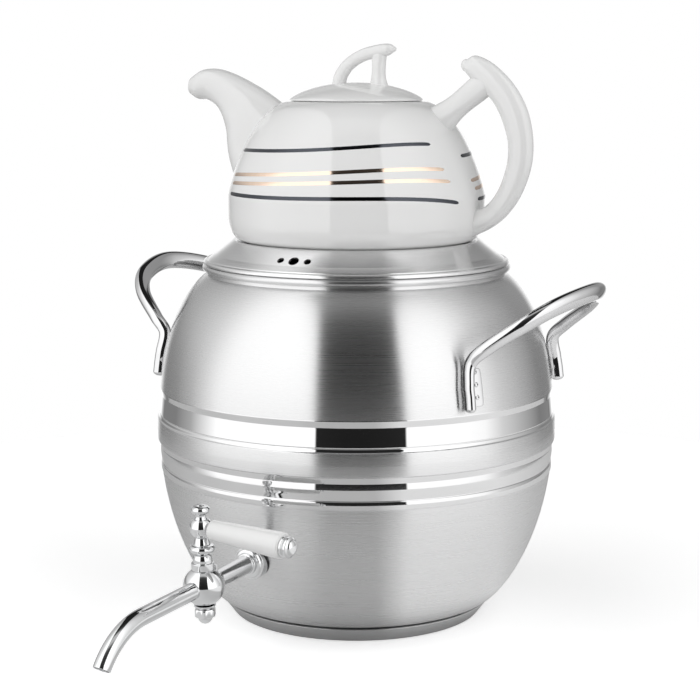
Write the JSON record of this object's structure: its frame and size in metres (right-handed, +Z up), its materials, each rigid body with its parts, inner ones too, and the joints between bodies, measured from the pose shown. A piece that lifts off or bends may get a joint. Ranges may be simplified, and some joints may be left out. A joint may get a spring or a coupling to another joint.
{
  "type": "tea kettle with tap",
  "caption": "Stove-top tea kettle with a bellied steel body, side handles and a lever tap; a white porcelain teapot stands in the vented lid.",
  "frame": {"origin": "centre of the underside of the base, where the kettle stands", "axes": "+Z up, -Y towards the tap's outlet, +X towards the side handle on the lever's side"},
  "size_m": [0.3102, 0.3651, 0.3386],
  "materials": {
    "belly_steel": "fine horizontal brushing, with mirror-polished bands between the ribs",
    "lid_steel": "fine circular brushing",
    "polished_steel": "polished stainless steel",
    "washer_steel": "plain stainless steel",
    "core_aluminium": "plain disc sealed inside the base",
    "tap_chrome": "mirror chrome",
    "gasket_rubber": "matt black",
    "nut_brass": "plain machined brass",
    "sleeve_porcelain": "white gloss glaze",
    "porcelain": "white gloss glaze with platinum and gold lines"
  },
  "bodies": {
    "kettle": {"kettle_body": "belly_steel", "base_cap": "polished_steel", "base_core": "core_aluminium", "side_handle_right": "polished_steel", "side_handle_left": "polished_steel", "tap_body": "tap_chrome", "tap_outlet_pipe": "tap_chrome", "tap_flange_nut": "tap_chrome", "tap_gasket_outer": "gasket_rubber", "tap_gasket_inner": "gasket_rubber", "tap_washer_inner": "washer_steel", "tap_lock_nut": "nut_brass", "tap_stop_pin": "tap_chrome"},
    "tap_lever": {"tap_plug": "tap_chrome", "tap_collar": "tap_chrome", "finial_disc": "tap_chrome", "lever_boss": "tap_chrome", "finial_button": "tap_chrome", "lever_rod": "washer_steel", "lever_sleeve": "sleeve_porcelain", "lever_end_cap": "tap_chrome", "plug_washer": "tap_chrome", "spring_washer": "washer_steel", "acorn_nut": "tap_chrome"},
    "seat_lid": {"seat_lid": "lid_steel", "lid_ring": "lid_steel"},
    "teapot": {"teapot_body": "porcelain", "teapot_spout": "porcelain", "teapot_handle": "porcelain"},
    "teapot_lid": {"teapot_lid": "porcelain", "teapot_lid_handle": "porcelain"}
  },
  "joints": [
    {"name": "tap_turn", "type": "hinge", "parent": "kettle", "child": "tap_lever", "pos_m": [-0.00544, -0.15574, 0.0502], "axis": [-0.0018, -0.0523, 0.9986], "range_deg": [-90, 0]},
    {"name": "seat_lid_lift", "type": "slide", "parent": "kettle", "child": "seat_lid", "axis": [0, 0, 1], "range_m": [0, 0.12]},
    {"name": "teapot_lift", "type": "slide", "parent": "seat_lid", "child": "teapot", "axis": [0, 0, 1], "range_m": [0, 0.15]},
    {"name": "teapot_lid_lift", "type": "slide", "parent": "teapot", "child": "teapot_lid", "axis": [0, 0, 1], "range_m": [0, 0.06]}
  ]
}
